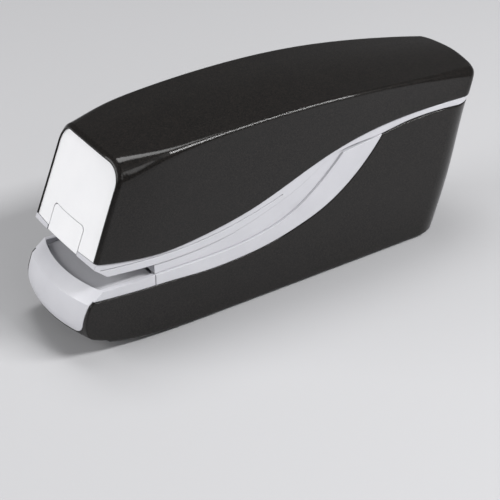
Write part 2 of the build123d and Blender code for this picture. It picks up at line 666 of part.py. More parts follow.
def nose_front_view(spare):
    """The nose face seen from the front: narrower at its foot, moved outwards by spare."""
    foot_half = NOSE_FACE_HALF - NOSE_FACE_TAPER + spare
    foot = NOSE_FACE[0][1] - spare
    head_half = NOSE_FACE_HALF + spare
    head = NOSE_FACE[-1][1]
    return upright_outline((-head_half, FAR), (-head_half, head), (-foot_half, foot),
                           (foot_half, foot), (head_half, head), (head_half, FAR),
                           radius=NOSE_LOWER_CORNER)


with BuildPart() as nose_sides:
    # everything beside the face and below the base's rim
    add(side_prism(BLOCK_HALF, strip_foot, [strip_foot[-1], (-FAR, 0)],
                   [(-FAR, 0), (strip_foot[0][0], 0)], [(strip_foot[0][0], 0), strip_foot[0]]))
    add(nose_front_view(0), mode=Mode.SUBTRACT)

with BuildPart() as nose_cover:
    add(turned(NOSE_FACE, [NOSE_FACE[-1], NOSE_RIDGE], [NOSE_RIDGE, NOSE_RIDGE_BACK],
               [NOSE_RIDGE_BACK, NOSE_BACK[-1]], backwards(NOSE_BACK),
               [NOSE_BACK[0], NOSE_FACE[0]]))
    block((-NOSE_HALF, -FAR, 0), (NOSE_HALF, MOUTH_REAR, FAR), mode=Mode.INTERSECT)
    add(nose_sides.part, mode=Mode.SUBTRACT)
    add(nose_strips.part)
save(nose_cover.part, "nose_cover")

# ---------------------------------------------------------------- paper table and anvil
table_half = NOSE_HALF - WALL - GAP
with BuildPart() as table_zone:
    with BuildSketch(Plane.XY):
        with Locations((0, NOSE_AXIS_Y)):
            Circle(NOSE_AXIS_Y - NOSE_RIDGE_BACK[0] - GAP)
    extrude(amount=FAR)

with BuildPart() as anvil_table:
    block((-table_half, -FAR, TABLE_TOP - TABLE_DEPTH), (table_half, MOUTH_REAR - GAP, TABLE_TOP))
    for x in (-TABLE_RIB_X, TABLE_RIB_X):
        block((x - TABLE_RIB_HALF, TABLE_RIB_FRONT, TABLE_FOOT),
              (x + TABLE_RIB_HALF, MOUTH_REAR - GAP, TABLE_TOP - TABLE_DEPTH))
    add(table_zone.part, mode=Mode.INTERSECT)
    block((-ANVIL_HALF, BLADE_Y - ANVIL_BACK, TABLE_TOP - ANVIL_DEPTH),
          (ANVIL_HALF, BLADE_Y + ANVIL_BACK, TABLE_TOP), mode=Mode.SUBTRACT)
save(anvil_table.part, "anvil_table")

with BuildPart() as anvil_plate:
    block((-ANVIL_HALF + PLAY, BLADE_Y - ANVIL_BACK + PLAY, TABLE_TOP - ANVIL_DEPTH),
          (ANVIL_HALF - PLAY, BLADE_Y + ANVIL_BACK - PLAY, TABLE_TOP - ANVIL_SINK))
    with BuildSketch(Plane.XY.offset(TABLE_TOP - ANVIL_SINK)):
        with Locations((-FORMER_X, BLADE_Y), (FORMER_X, BLADE_Y)):
            SlotOverall(FORMER_LENGTH, FORMER_WIDTH)
    extrude(amount=-FORMER_DEPTH, mode=Mode.SUBTRACT)
save(anvil_plate.part, "anvil_plate")

# ---------------------------------------------------------------- base shell
floor_top = FOOT_HEIGHT + BASE_FLOOR
room_rear = [(y - WALL, z) for y, z in BASE_REAR]
room_belly = raised(BASE_BELLY, BASE_FLOOR)
base_rim = [BASE_EDGE[-1]] + raised(STRIP_EDGE[1:-1], -2 * GAP) + [BASE_REAR[0]]

with BuildPart() as base_blank:
    add(side_prism(CASE_HALF, BASE_EDGE, base_rim, BASE_REAR, [BASE_REAR[-1], BASE_BELLY[-1]],
                   backwards(BASE_BELLY), [BASE_BELLY[0], BASE_BLANK_FRONT[0]], BASE_BLANK_FRONT,
                   [BASE_BLANK_FRONT[1], BASE_EDGE[0]]))
    rear_corners = base_blank.edges().filter_by(
        lambda edge: edge.center().Y > REAR_ZONE and abs(edge.center().X) > CASE_HALF - TOUCH
        and edge.bounding_box().size.Z > UPRIGHT_RUN)
    fillet(rear_corners, radius=BASE_CORNER)

with BuildPart() as base_room:
    add(side_prism(CASE_HALF - WALL, room_belly, [room_belly[-1], (room_rear[-1][0], FOOT_HEIGHT)],
                   backwards(room_rear), [room_rear[0], (room_rear[0][0], FAR)],
                   [(room_rear[0][0], FAR), (room_belly[0][0], FAR)],
                   [(room_belly[0][0], FAR), room_belly[0]]))
    room_corners = base_room.edges().filter_by(
        lambda edge: edge.center().Y > REAR_ZONE - WALL
        and abs(edge.center().X) > CASE_HALF - WALL - TOUCH
        and edge.bounding_box().size.Z > UPRIGHT_RUN)
    fillet(room_corners, radius=BASE_CORNER - WALL)
    block((-FAR, -FAR, 0), (FAR, FAR, floor_top), mode=Mode.SUBTRACT)

with BuildPart() as base_front:
    add(turned([(NOSE_AXIS_Y, 0), (LIP_FOOT_Y, 0)], [(LIP_FOOT_Y, 0), NOSE_LIP[0]], NOSE_LIP,
               BASE_FACE, [BASE_FACE[-1], BASE_RIDGE], [BASE_RIDGE, (BASE_RIDGE[0], FAR)],
               [(BASE_RIDGE[0], FAR), (NOSE_AXIS_Y, FAR)], [(NOSE_AXIS_Y, FAR), (NOSE_AXIS_Y, 0)]))
    block((-FAR, BASE_FRONT_REAR, 0), (FAR, FAR, FAR))

with BuildPart() as nose_opening:
    add(nose_front_view(GAP))
    block((-FAR, NOSE_OPENING_REAR, 0), (FAR, FAR, FAR), mode=Mode.SUBTRACT)

with BuildPart() as base_shell:
    add(base_blank.part)
    add(base_front.part, mode=Mode.INTERSECT)
    add(base_room.part, mode=Mode.SUBTRACT)
    add(nose_opening.part, mode=Mode.SUBTRACT)
    # screw bosses with sunk heads
    with BuildSketch(Plane.XY.offset(floor_top)):
        with Locations(*CASE_SCREWS):
            Circle(BOSS_RADIUS)
    extrude(amount=WEB_TOP - WEB - floor_top - GAP)
    with Locations(*[Location((x, y, FOOT_HEIGHT), (180, 0, 0)) for x, y in CASE_SCREWS]):
        CounterBoreHole(SCREW_RADIUS, SCREW_HEAD_RADIUS + PLAY, SCREW_HEAD + HEAD_SUNK)
    # sockets for the feet
    with BuildSketch(Plane.XY.offset(FOOT_HEIGHT)):
        with Locations(*FEET):
            Circle(FOOT_RADIUS)
    extrude(amount=FOOT_SINK, mode=Mode.SUBTRACT)
    # battery opening, its side grooves and the door's way out through the rear
    opening = DOOR_HALF + GAP
    block((-opening, DOOR_Y[0] - GAP, 0), (opening, FAR, floor_top), mode=Mode.SUBTRACT)
    block((-opening - DOOR_TONGUE, DOOR_Y[0] - GAP, FOOT_HEIGHT + GROOVE_Z[0]),
          (opening + DOOR_TONGUE, FAR, FOOT_HEIGHT + GROOVE_Z[1]), mode=Mode.SUBTRACT)
save(base_shell.part, "base_shell")


# ---------------------------------------------------------------- mechanism helpers
def along(centre, distance, way):
    """The point at a distance from the centre, in a direction given in degrees."""
    return (centre[0] + distance * cos(radians(way)), centre[1] + distance * sin(radians(way)))


def bar(start, end, width):
    """Draw a straight bar between two points, inside an open sketch."""
    length = hypot(end[0] - start[0], end[1] - start[1])
    side_y = (start[1] - end[1]) / length * width / 2
    side_z = (end[0] - start[0]) / length * width / 2
    with BuildLine(mode=Mode.PRIVATE) as edge:
        Polyline((start[0] + side_y, start[1] + side_z), (end[0] + side_y, end[1] + side_z),
                 (end[0] - side_y, end[1] - side_z), (start[0] - side_y, start[1] - side_z),
                 close=True)
    return make_face(edge.edges(), mode=Mode.PRIVATE)


def upright_rod(places, z_from, z_to, radius, mode=Mode.ADD):
    """Round bars along Z at the (x, y) places, used inside a part's own block."""
    with BuildSketch(Plane.XY.offset(z_from)) as section:
        with Locations(*places):
            Circle(radius)
    extrude(section.sketch, amount=z_to - z_from, mode=mode)


def rod_y(y_from, y_to, centre, radius, mode=Mode.ADD):
    """A round bar along Y through the (x, z) centre, used inside a part's own block."""
    with BuildSketch(Plane.XZ.offset(-y_from)) as section:
        with Locations(centre):
            Circle(radius)
    extrude(section.sketch, amount=y_from - y_to, mode=mode)


def spindle(x_from, x_to, centre, radius, name):
    """A plain round shaft along X."""
    with BuildPart() as shaft:
        rod_x(x_from, x_to, centre, radius)
        chamfer(shaft.edges().filter_by(GeomType.CIRCLE), length=SPINDLE_CHAMFER)
    save(shaft.part, name)


def coil(radius, wire, centre, direction, length, turns):
    """A round wire wound about an axis."""
    with BuildPart() as spring:
        with BuildLine() as path:
            Helix(pitch=length / turns, height=length, radius=radius, center=centre,
                  direction=direction)
        with BuildSketch(Plane(origin=path.line @ 0, z_dir=path.line % 0)) as section:
            Circle(wire)
        sweep(section.sketch, path=path.line)
    return spring.part


def tooth_half_angle(pitch_radius, teeth, radius):
    """Half the angle that an involute tooth spans at a radius."""
    slant = acos(min(1, pitch_radius * cos(PRESSURE) / radius))
    widening = (tan(PRESSURE) - PRESSURE) - (tan(slant) - slant)
    return pi / 2 / teeth - BACKLASH / 2 / pitch_radius + widening


def gear_points(module, teeth, centre, tooth_way):
    """The corners of a spur gear; one tooth points in the direction tooth_way, in degrees."""
    pitch_radius = module * teeth / 2
    flank = [pitch_radius - DEDENDUM * module, pitch_radius, pitch_radius + ADDENDUM * module]
    points = []
    for tooth in range(teeth):
        middle = radians(tooth_way) + 2 * pi * tooth / teeth
        for side, radii in ((-1, flank), (1, backwards(flank))):
            for radius in radii:
                way = middle + side * tooth_half_angle(pitch_radius, teeth, radius)
                points.append((centre[0] + radius * cos(way), centre[1] + radius * sin(way)))
    return points


def gear(module, teeth, centre, tooth_way, x_span, bore, name):
    """A spur gear on a shaft along X."""
    with BuildPart() as wheel:
        with BuildSketch(Plane.YZ.offset(x_span[0])):
            with BuildLine():
                Polyline(*gear_points(module, teeth, centre, tooth_way), close=True)
            make_face()
            with Locations(centre):
                Circle(bore, mode=Mode.SUBTRACT)
        extrude(amount=x_span[1] - x_span[0])
    save(wheel.part, name)


# ---------------------------------------------------------------- shafts and gears
second_centre = along(CAM_CENTRE, CAM_STAGE * (CAM_TEETH + SECOND_PINION_TEETH) / 2, SECOND_WAY)
first_centre = along(second_centre, MOTOR_STAGE * (SECOND_TEETH + FIRST_PINION_TEETH) / 2,
                     FIRST_WAY)
motor_centre = along(first_centre, MOTOR_STAGE * (FIRST_TEETH + MOTOR_TEETH) / 2, MOTOR_WAY)

# each driving wheel has a gap where its partner's tooth stands on the line of centres
gear(CAM_STAGE, CAM_TEETH, CAM_CENTRE, SECOND_WAY, CAM_GEAR_X, SHAFT_RADIUS, "cam_gear")
gear(CAM_STAGE, SECOND_PINION_TEETH, second_centre, SECOND_WAY + 180 + 180 / SECOND_PINION_TEETH,
     SECOND_PINION_X, SHAFT_RADIUS, "second_pinion")
gear(MOTOR_STAGE, SECOND_TEETH, second_centre, FIRST_WAY, SECOND_GEAR_X, SHAFT_RADIUS,
     "second_gear")
gear(MOTOR_STAGE, FIRST_PINION_TEETH, first_centre, FIRST_WAY + 180 + 180 / FIRST_PINION_TEETH,
     FIRST_PINION_X, SHAFT_RADIUS, "first_pinion")
gear(MOTOR_STAGE, FIRST_TEETH, first_centre, MOTOR_WAY, FIRST_GEAR_X, SHAFT_RADIUS, "first_gear")
gear(MOTOR_STAGE, MOTOR_TEETH, motor_centre, MOTOR_WAY + 180 + 180 / MOTOR_TEETH, FIRST_GEAR_X,
     SHAFT_RADIUS, "motor_pinion")

spindle(-SHAFT_END, SHAFT_END, CAM_CENTRE, SHAFT_RADIUS, "cam_shaft")
spindle(-SHAFT_END, BLIND_END, second_centre, SHAFT_RADIUS, "second_shaft")
spindle(-SHAFT_END, OUTER_END, first_centre, SHAFT_RADIUS, "first_shaft")
spindle(MOTOR_SHAFT_START, OUTER_END, motor_centre, SHAFT_RADIUS, "motor_shaft")
spindle(-BLIND_END, BLIND_END, LEVER_PIVOT, PIN_RADIUS, "lever_pin")


# ---------------------------------------------------------------- cam and lever
def follower_place(turn):
    """The follower's centre seen from the cam's centre, in the cam's own frame."""
    swing = radians(LEVER_SWING) * abs(turn) / pi
    y = FOLLOWER[0] - LEVER_PIVOT[0]
    z = FOLLOWER[1] - LEVER_PIVOT[1]
    away_y = LEVER_PIVOT[0] + y * cos(swing) - z * sin(swing) - CAM_CENTRE[0]
    away_z = LEVER_PIVOT[1] + y * sin(swing) + z * cos(swing) - CAM_CENTRE[1]
    return (away_y * cos(turn) + away_z * sin(turn), away_z * cos(turn) - away_y * sin(turn))


def cam_reach(way):
    """How far the cam may reach in a direction without ever touching the follower."""
    nearest = inf
    for step in range(-CAM_STEPS, CAM_STEPS + 1):
        y, z = follower_place(pi * step / CAM_STEPS)
        ahead = y * cos(way) + z * sin(way)
        aside = y * sin(way) - z * cos(way)
        clear = FOLLOWER_RADIUS + CAM_CLEARANCE
        if ahead > 0 and abs(aside) < clear:
            nearest = min(nearest, ahead - sqrt(clear ** 2 - aside ** 2))
    return nearest


cam_edge = []
for step in range(CAM_POINTS):
    way = 2 * pi * step / CAM_POINTS
    reach = cam_reach(way)
    cam_edge.append((CAM_CENTRE[0] + reach * cos(way), CAM_CENTRE[1] + reach * sin(way)))

with BuildPart() as drive_cam:
    with BuildSketch(Plane.YZ.offset(-CAM_HALF)):
        with BuildLine():
            Spline(*cam_edge, periodic=True)
        make_face()
        with Locations(CAM_CENTRE):
            Circle(SHAFT_RADIUS, mode=Mode.SUBTRACT)
    extrude(amount=2 * CAM_HALF)
save(drive_cam.part, "drive_cam")

with BuildPart() as drive_lever:
    with BuildSketch(Plane.YZ):
        add(bar(LEVER_PIVOT, FOLLOWER, LEVER_BAR))
        add(bar(FOLLOWER, LEVER_TIP, LEVER_BAR))
        with Locations(LEVER_PIVOT):
            Circle(LEVER_BOSS)
        with Locations(FOLLOWER):
            Circle(FOLLOWER_RADIUS)
        with Locations(LEVER_TIP):
            Circle(TIP_RADIUS)
        with Locations(LEVER_PIVOT):
            Circle(PIN_RADIUS + PLAY, mode=Mode.SUBTRACT)
    extrude(amount=LEVER_HALF, both=True)
save(drive_lever.part, "drive_lever")

with BuildPart() as lever_spring:
    add(coil(COIL_RADIUS, COIL_WIRE, (COIL_X[0], *LEVER_PIVOT), (1, 0, 0), COIL_X[1] - COIL_X[0],
             COIL_TURNS))
    # arms: one lies under the lever, the other leans towards the motor
    arm_z = LEVER_PIVOT[1] - COIL_RADIUS
    rod_y(LEVER_PIVOT[0], COIL_ARM_FRONT, (COIL_X[1], arm_z), COIL_WIRE)
    rod_x(COIL_X[1], LEVER_HALF / 2, (COIL_ARM_FRONT, arm_z), COIL_WIRE)
    upright_rod([(COIL_X[0], LEVER_PIVOT[0] + COIL_RADIUS)], LEVER_PIVOT[1], COIL_ARM_TOP,
                COIL_WIRE)
save(lever_spring.part, "lever_spring")

# ---------------------------------------------------------------- ram and driver blade
tip_room = TIP_RADIUS + CAM_CLEARANCE + PLAY
with BuildPart() as ram:
    block((-RAM_HALF, RAM_Y[0], RAM_Z[0]), (RAM_HALF, RAM_Y[1], RAM_Z[1]))
    fillet(ram.edges().filter_by(Axis.Z), radius=RAM_CORNER)
    tongue_x = PLATE_X[1] + 2 * RAM_PLAY
    block((-tongue_x, RAM_TONGUE_Y[0], RAM_TONGUE_Z[0]), (tongue_x, RAM_TONGUE_Y[1],
                                                          RAM_TONGUE_Z[1]))
    block((-CAM_HALF, SLOT_FRONT, LEVER_TIP[1] - tip_room),
          (CAM_HALF, RAM_Y[1], LEVER_TIP[1] + tip_room), mode=Mode.SUBTRACT)
save(ram.part, "ram")

with BuildPart() as driver_blade:
    block((-BLADE_HALF, BLADE_Y - BLADE_THICK / 2, BLADE_Z[0]),
          (BLADE_HALF, BLADE_Y + BLADE_THICK / 2, BLADE_Z[1]))
    upper_corners = driver_blade.edges().filter_by(Axis.Y).group_by(Axis.Z)[-1]
    chamfer(upper_corners, length=BLADE_THICK)
save(driver_blade.part, "driver_blade")


# ---------------------------------------------------------------- frame of the mechanism
def side_plate(side, name):
    """One of the two upright plates that carry the shafts; side is -1 or 1."""
    inner, outer = sorted((side * PLATE_X[0], side * PLATE_X[1]))
    tab_from, tab_to = sorted((side * PLATE_X[1], side * TAB_REACH))
    feet = [post for post in FRAME_POSTS if post[0] * side > 0]
    with BuildPart() as plate:
        with BuildSketch(Plane.YZ.offset(inner)):
            with BuildLine():
                Polyline(*PLATE_OUTLINE, close=True)
            make_face()
            for centre, radius in PLATE_BORES[side]:
                with Locations(centre):
                    Circle(radius, mode=Mode.SUBTRACT)
        extrude(amount=outer - inner)
        block((-FAR, RAM_TONGUE_Y[0] - RAM_PLAY, RAM_TONGUE_Z[0] - STROKE - 2 * RAM_PLAY),
              (FAR, RAM_TONGUE_Y[1] + RAM_PLAY, RAM_TONGUE_Z[1] + 2 * RAM_PLAY),
              mode=Mode.SUBTRACT)
        for x, y, top in feet:
            block((tab_from, y - TAB_HALF, top), (tab_to, y + TAB_HALF, top + TAB_THICK))
            upright_rod([(x, y)], top, top + TAB_THICK, SCREW_RADIUS, mode=Mode.SUBTRACT)
    save(plate.part, name)


shared_bores = [(CAM_CENTRE, SHAFT_RADIUS + PLAY), (second_centre, SHAFT_RADIUS + PLAY),
                (first_centre, SHAFT_RADIUS + PLAY), (LEVER_PIVOT, PIN_RADIUS)]
shared_bores += [(place, SHAFT_RADIUS) for place in SPACERS]
PLATE_BORES = {-1: shared_bores, 1: shared_bores + [(motor_centre, MOTOR_BOSS_RADIUS)]}
side_plate(-1, "left_side_plate")
side_plate(1, "right_side_plate")

with BuildPart() as frame_spacers:
    for place in SPACERS:
        rod_x(-PLATE_X[0], PLATE_X[0], place, SPACER_RADIUS)
        rod_x(-PLATE_X[1], PLATE_X[1], place, SHAFT_RADIUS)
save(frame_spacers.part, "frame_spacers")

with BuildPart() as frame_screws:
    for x, y, top in FRAME_POSTS:
        head_foot = top + TAB_THICK
        upright_rod([(x, y)], top - FRAME_SCREW_BITE, head_foot, SCREW_RADIUS - PLAY)
        upright_rod([(x, y)], head_foot, head_foot + SCREW_HEAD, SCREW_HEAD_RADIUS)
        block((x - CROSS_HALF, y - CROSS_ARM, head_foot + SCREW_HEAD / 2),
              (x + CROSS_HALF, y + CROSS_ARM, FAR), mode=Mode.SUBTRACT)
        block((x - CROSS_ARM, y - CROSS_HALF, head_foot + SCREW_HEAD / 2),
              (x + CROSS_ARM, y + CROSS_HALF, FAR), mode=Mode.SUBTRACT)
save(frame_screws.part, "frame_screws")

# ---------------------------------------------------------------- motor
with BuildPart() as motor_can:
    with BuildSketch(Plane.YZ.offset(MOTOR_X[0])):
        with Locations(motor_centre):
            Circle(MOTOR_RADIUS)
    extrude(amount=MOTOR_X[1] - MOTOR_X[0])
    fillet(motor_can.edges().filter_by(GeomType.CIRCLE), radius=MOTOR_ROUND)
    rod_x(MOTOR_SHAFT_START - 2 * RAM_PLAY, MOTOR_X[1], motor_centre, SHAFT_RADIUS + PLAY,
          mode=Mode.SUBTRACT)
save(motor_can.part, "motor_can")

with BuildPart() as motor_boss:
    rod_x(MOTOR_X[1], MOTOR_BOSS_END, motor_centre, MOTOR_BOSS_RADIUS)
    rod_x(MOTOR_X[1], MOTOR_BOSS_END, motor_centre, SHAFT_RADIUS + PLAY, mode=Mode.SUBTRACT)
save(motor_boss.part, "motor_boss")

# ---------------------------------------------------------------- staple drawer
with BuildPart() as magazine_channel:
    block((-CHANNEL_HALF, CHANNEL_Y[0], CHANNEL_Z[0]), (CHANNEL_HALF, CHANNEL_Y[1], CHANNEL_Z[1]))
    block((-CHANNEL_HALF + SHEET, CHANNEL_Y[0] + SHEET, CHANNEL_Z[0] + SHEET),
          (CHANNEL_HALF - SHEET, CHANNEL_Y[1] - SHEET, FAR), mode=Mode.SUBTRACT)
    block((-EXIT_HALF, EXIT_Y[0], 0), (EXIT_HALF, EXIT_Y[1], FAR), mode=Mode.SUBTRACT)
save(magazine_channel.part, "magazine_channel")

rail_floor = CHANNEL_Z[0] + SHEET
with BuildPart() as magazine_rail:
    block((-RAIL_HALF, RAIL_Y[0], rail_floor), (RAIL_HALF, RAIL_Y[1], RAIL_TOP))
    block((-RAIL_HALF + RAIL_SHEET, RAIL_Y[0] + RAIL_SHEET, rail_floor + RAIL_SHEET),
          (RAIL_HALF - RAIL_SHEET, FAR, FAR), mode=Mode.SUBTRACT)
save(magazine_rail.part, "magazine_rail")

with BuildPart() as staple_strip:
    staple_leg = STRIP_HALF - STAPLE_WIRE
    block((-STRIP_HALF, STRIP_Y[0], STAPLE_FOOT), (STRIP_HALF, STRIP_Y[1], STAPLE_TOP))
    block((-staple_leg, STRIP_Y[0], STAPLE_FOOT), (staple_leg, STRIP_Y[1], STAPLE_TOP - STAPLE_WIRE),
          mode=Mode.SUBTRACT)
save(staple_strip.part, "staple_strip")

with BuildPart() as pusher_rod:
    rod_y(RAIL_Y[0] + RAIL_SHEET, CHANNEL_Y[1] - SHEET, (0, ROD_Z), ROD_RADIUS)
save(pusher_rod.part, "pusher_rod")

with BuildPart() as pusher:
    block((-PUSHER_HALF, PUSHER_Y[0], PUSHER_FOOT), (PUSHER_HALF, PUSHER_Y[1], PUSHER_TOP))
    block((-PUSHER_LEG, PUSHER_Y[0], PUSHER_FOOT), (PUSHER_LEG, PUSHER_Y[1], PUSHER_ROOF),
          mode=Mode.SUBTRACT)
    block((-PUSHER_TAB_HALF, PUSHER_Y[0], PUSHER_TAB_FOOT),
          (PUSHER_TAB_HALF, PUSHER_Y[1], PUSHER_ROOF))
    rod_y(PUSHER_Y[0], PUSHER_Y[1], (0, ROD_Z), ROD_RADIUS + ROD_PLAY, mode=Mode.SUBTRACT)
save(pusher.part, "pusher")

spring_front = PUSHER_Y[1] + PUSHER_COIL_WIRE
spring_rear = CHANNEL_Y[1] - SHEET - PUSHER_COIL_WIRE
pusher_spring = coil(PUSHER_COIL_RADIUS, PUSHER_COIL_WIRE, (0, spring_front, ROD_Z), (0, 1, 0),
                     spring_rear - spring_front, PUSHER_COIL_TURNS)
save(pusher_spring, "pusher_spring")

# ---------------------------------------------------------------- paper sensor
trigger_centre = (TRIGGER_Y, TRIGGER_Z)
with BuildPart() as trigger_lever:
    with BuildSketch(Plane.YZ.offset(TRIGGER_X[0])):
        add(bar(trigger_centre, TRIGGER_ELBOW, TRIGGER_BAR))
        add(bar(TRIGGER_ELBOW, TRIGGER_TIP, TRIGGER_BAR))
        add(bar(trigger_centre, TRIGGER_HEEL, TRIGGER_BAR))
        with Locations(trigger_centre):
            Circle(TRIGGER_BOSS)
        with Locations(TRIGGER_ELBOW, TRIGGER_TIP):
            Circle(TRIGGER_BAR / 2)
        with Locations(TRIGGER_HEEL):
            Circle(HEEL_RADIUS)
        with Locations(trigger_centre):
            Circle(TRIGGER_PIN_RADIUS + PLAY, mode=Mode.SUBTRACT)
    extrude(amount=TRIGGER_X[1] - TRIGGER_X[0])
save(trigger_lever.part, "trigger_lever")

spindle(TRIGGER_LUGS[0][0], TRIGGER_LUGS[1][1], trigger_centre, TRIGGER_PIN_RADIUS, "trigger_pin")

trigger_spring = coil(TRIGGER_COIL_RADIUS, TRIGGER_COIL_WIRE, (TRIGGER_COIL_X[0], *trigger_centre),
                      (1, 0, 0), TRIGGER_COIL_X[1] - TRIGGER_COIL_X[0], TRIGGER_COIL_TURNS)
save(trigger_spring, "trigger_spring")

with BuildPart() as microswitch:
    block((SWITCH_X[0], SWITCH_Y[0], SWITCH_Z[0]), (SWITCH_X[1], SWITCH_Y[1], SWITCH_Z[1]))
    fillet(microswitch.edges().filter_by(Axis.X), radius=SWITCH_ROUND)
    upright_rod([((TRIGGER_X[0] + TRIGGER_X[1]) / 2, PLUNGER_Y)], PLUNGER_FOOT, SWITCH_Z[0],
                PLUNGER_RADIUS)
    for terminal_y in SWITCH_TERMINALS:
        block((TERMINAL_X[0], terminal_y - TERMINAL_HALF, SWITCH_Z[1]),
              (TERMINAL_X[1], terminal_y + TERMINAL_HALF, TERMINAL_TOP))
save(microswitch.part, "microswitch")

# ---------------------------------------------------------------- circuit board
board_holes = [(x, y) for x, y, top in BOARD_POSTS]
board_top = BOARD_Z + BOARD_THICK
with BuildPart() as circuit_board:
    block((-BOARD_HALF, BOARD_Y[0], BOARD_Z), (BOARD_HALF, BOARD_Y[1], board_top))
    upright_rod(board_holes, BOARD_Z, board_top, SCREW_RADIUS, mode=Mode.SUBTRACT)
save(circuit_board.part, "circuit_board")

with BuildPart() as board_screws:
    upright_rod(board_holes, BOARD_Z - BOARD_SCREW_BITE, board_top, SCREW_RADIUS - PLAY)
    upright_rod(board_holes, board_top, board_top + SCREW_HEAD, SCREW_HEAD_RADIUS)
save(board_screws.part, "board_screws")

chip_x, chip_y = CHIP_PLACE
with BuildPart() as control_chip:
    block((chip_x - CHIP[0] / 2, chip_y - CHIP[1] / 2, board_top + CHIP_LEG / 2),
          (chip_x + CHIP[0] / 2, chip_y + CHIP[1] / 2, board_top + CHIP_LEG / 2 + CHIP[2]))
    for leg in range(CHIP_LEGS):
        leg_y = chip_y + (leg - (CHIP_LEGS - 1) / 2) * 2 * CHIP_LEG
        block((chip_x - CHIP[0] / 2 - 2 * CHIP_LEG, leg_y - CHIP_LEG / 2, board_top),
              (chip_x + CHIP[0] / 2 + 2 * CHIP_LEG, leg_y + CHIP_LEG / 2, board_top + CHIP_LEG))
save(control_chip.part, "control_chip")

with BuildPart() as capacitor:
    upright_rod([CAPACITOR_PLACE], board_top, board_top + CAPACITOR_HEIGHT, CAPACITOR_RADIUS)
    fillet(capacitor.edges().filter_by(GeomType.CIRCLE).group_by(Axis.Z)[-1], radius=CHIP_LEG)
save(capacitor.part, "capacitor")


# ---------------------------------------------------------------- batteries
def battery(centre, name):
    """One AA cell lying along Y, with its raised end forwards."""
    cell_rear = CELL_FRONT + CELL_LENGTH
    with BuildPart() as cell:
        rod_y(CELL_FRONT + CELL_BUTTON, cell_rear, centre, CELL_RADIUS)
        fillet(cell.edges().filter_by(GeomType.CIRCLE), radius=CELL_ROUND)
        rod_y(CELL_FRONT, CELL_FRONT + CELL_BUTTON, centre, CELL_BUTTON_RADIUS)
    save(cell.part, name)


cell_low = CELL_FLOOR + CELL_RADIUS
cell_centres = [(x, z) for z in (cell_low, cell_low + CELL_PITCH)
                for x in (-CELL_PITCH / 2, CELL_PITCH / 2)]
for number, cell_centre in enumerate(cell_centres, start=1):
    battery(cell_centre, f"battery_{number}")

spring_face = CRADLE_Y[1] - CRADLE_WALL
spring_start = CELL_FRONT + CELL_LENGTH + CELL_COIL_WIRE + PLAY
with BuildPart() as battery_springs:
    for x, z in cell_centres:
        add(coil(CELL_COIL_RADIUS, CELL_COIL_WIRE, (x, spring_start, z), (0, 1, 0),
                 spring_face - CELL_COIL_WIRE - spring_start, CELL_COIL_TURNS))
save(battery_springs.part, "battery_springs")

contact_front = CRADLE_Y[0] + CRADLE_WALL
with BuildPart() as battery_contacts:
    for x, z in cell_centres:
        block((x - CONTACT_HALF, contact_front, z - CONTACT_HALF),
              (x + CONTACT_HALF, CELL_FRONT, z + CONTACT_HALF))
save(battery_contacts.part, "battery_contacts")

with BuildPart() as battery_cradle:
    block((-CRADLE_HALF, CRADLE_Y[0], floor_top), (CRADLE_HALF, CRADLE_Y[1], CRADLE_TOP))
    block((-CRADLE_HALF + CRADLE_WALL, contact_front, 0),
          (CRADLE_HALF - CRADLE_WALL, spring_face, CRADLE_TOP - CRADLE_WALL), mode=Mode.SUBTRACT)
save(battery_cradle.part, "battery_cradle")

with BuildPart() as battery_door:
    block((-DOOR_HALF, DOOR_Y[0], FOOT_HEIGHT), (DOOR_HALF, DOOR_Y[1], FOOT_HEIGHT + DOOR_THICK))
    block((-DOOR_HALF - DOOR_TONGUE, DOOR_Y[0], FOOT_HEIGHT + GROOVE_Z[0] + GAP),
          (DOOR_HALF + DOOR_TONGUE, DOOR_TONGUE_END, FOOT_HEIGHT + GROOVE_Z[1] - GAP))
    add(base_blank.part, mode=Mode.INTERSECT)
    for grip in range(DOOR_GRIPS):
        grip_y = DOOR_GRIP_START + grip * DOOR_GRIP_PITCH
        block((-DOOR_GRIP_HALF, grip_y, 0),
              (DOOR_GRIP_HALF, grip_y + DOOR_GRIP_PITCH / 2, FOOT_HEIGHT + DOOR_GRIP_DEPTH),
              mode=Mode.SUBTRACT)
save(battery_door.part, "battery_door")

# ---------------------------------------------------------------- feet and case screws
with BuildPart() as rubber_feet:
    upright_rod(FEET, 0, FOOT_HEIGHT + FOOT_SINK, FOOT_RADIUS - PLAY)
    chamfer(rubber_feet.edges().group_by(Axis.Z)[0], length=FOOT_CHAMFER)
save(rubber_feet.part, "rubber_feet")

head_seat = FOOT_HEIGHT + SCREW_HEAD + HEAD_SUNK
with BuildPart() as case_screws:
    upright_rod(CASE_SCREWS, head_seat, WEB_TOP, SCREW_RADIUS - PLAY)
    upright_rod(CASE_SCREWS, head_seat - SCREW_HEAD, head_seat, SCREW_HEAD_RADIUS)
    for x, y in CASE_SCREWS:
        block((x - CROSS_HALF, y - CROSS_ARM, 0),
              (x + CROSS_HALF, y + CROSS_ARM, head_seat - SCREW_HEAD / 2), mode=Mode.SUBTRACT)
        block((x - CROSS_ARM, y - CROSS_HALF, 0),
              (x + CROSS_ARM, y + CROSS_HALF, head_seat - SCREW_HEAD / 2), mode=Mode.SUBTRACT)
save(case_screws.part, "case_screws")
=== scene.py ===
import bpy
import json
from mathutils import Matrix, Vector


